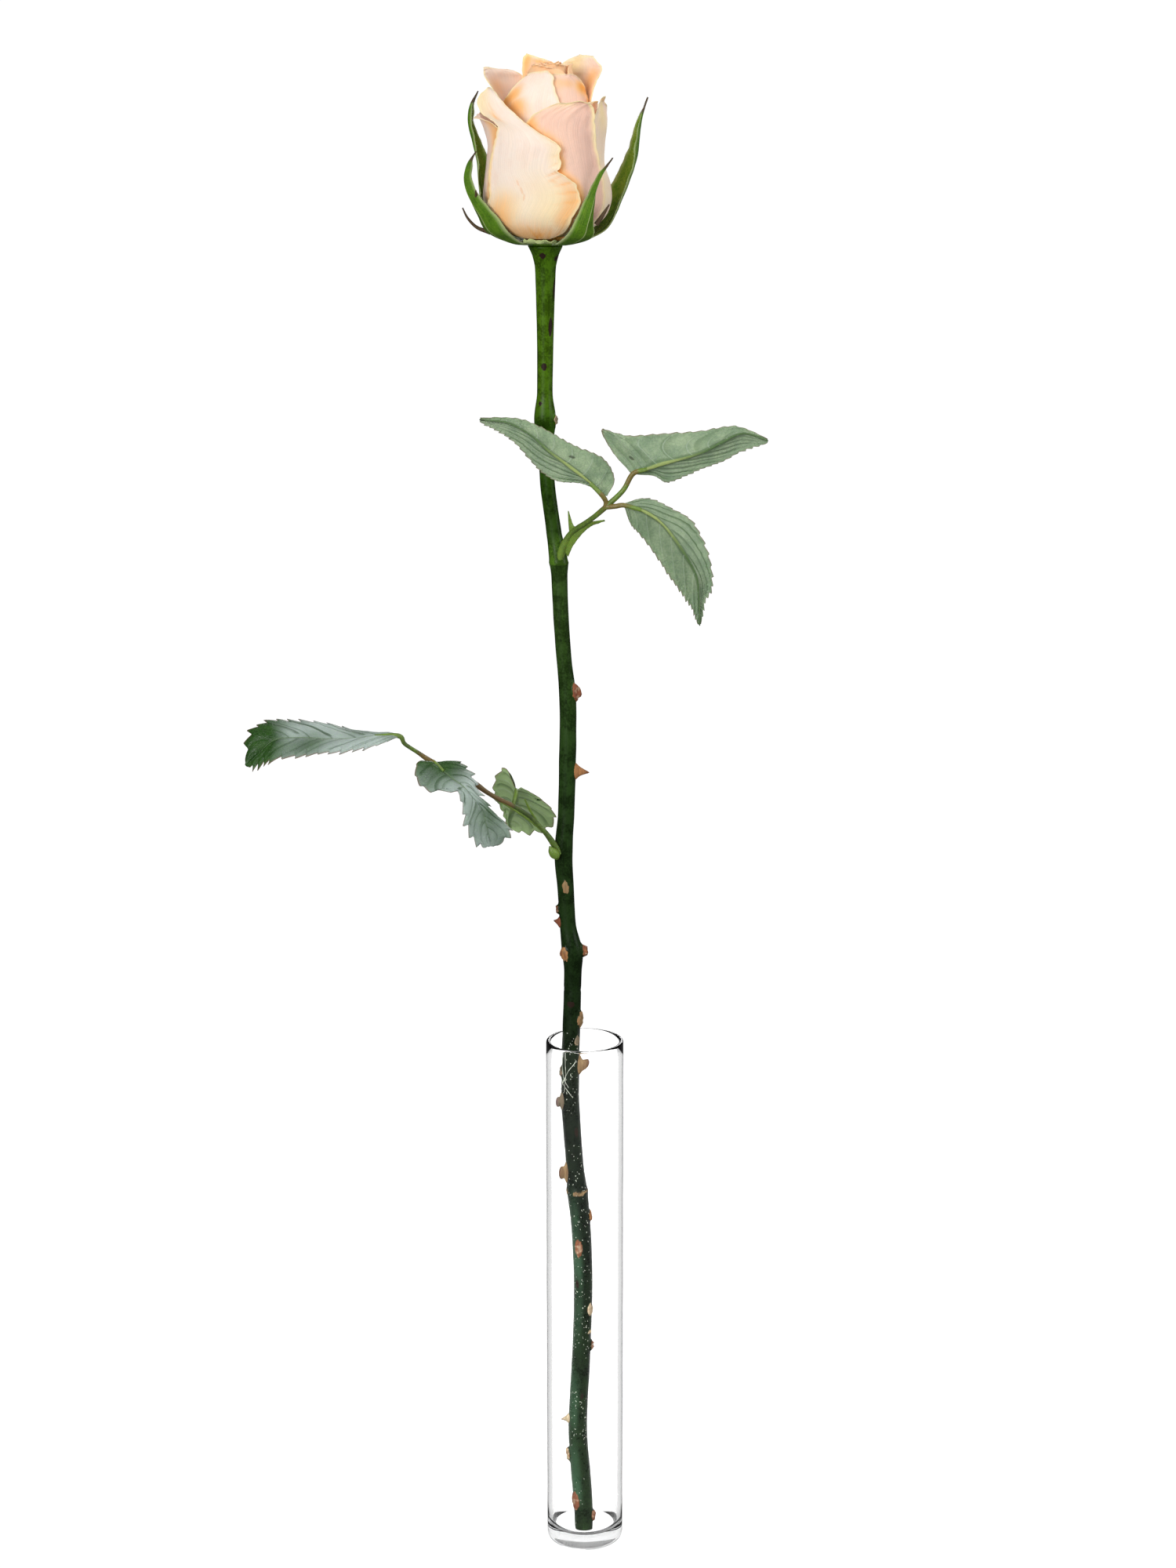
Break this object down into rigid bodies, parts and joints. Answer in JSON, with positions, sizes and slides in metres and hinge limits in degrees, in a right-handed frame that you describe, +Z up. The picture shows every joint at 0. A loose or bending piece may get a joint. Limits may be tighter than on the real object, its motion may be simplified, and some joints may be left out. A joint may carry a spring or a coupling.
{
  "type": "rose in vase",
  "caption": "Single long-stemmed cut rose, a half-open bud with sepals and serrated leaves, standing in a slim clear glass cylinder vase with a thick flat base.",
  "frame": {"origin": "centre of the vase's flat base, on the surface it stands on", "axes": "+Z up along the vase's axis; -Y is the side the bloom and the upper leaf face; +X to the right seen from there"},
  "size_m": [0.1859, 0.0631, 0.5544],
  "materials": {
    "glass": "polished",
    "stem": "satin",
    "sepal": "matte",
    "petal": "matte",
    "leaf": "satin"
  },
  "bodies": {
    "root": {"vase": "glass", "stem": "stem", "calyx": "sepal", "bloom": "petal", "upper_leaf": "leaf", "lower_leaf": "leaf"}
  },
  "joints": []
}
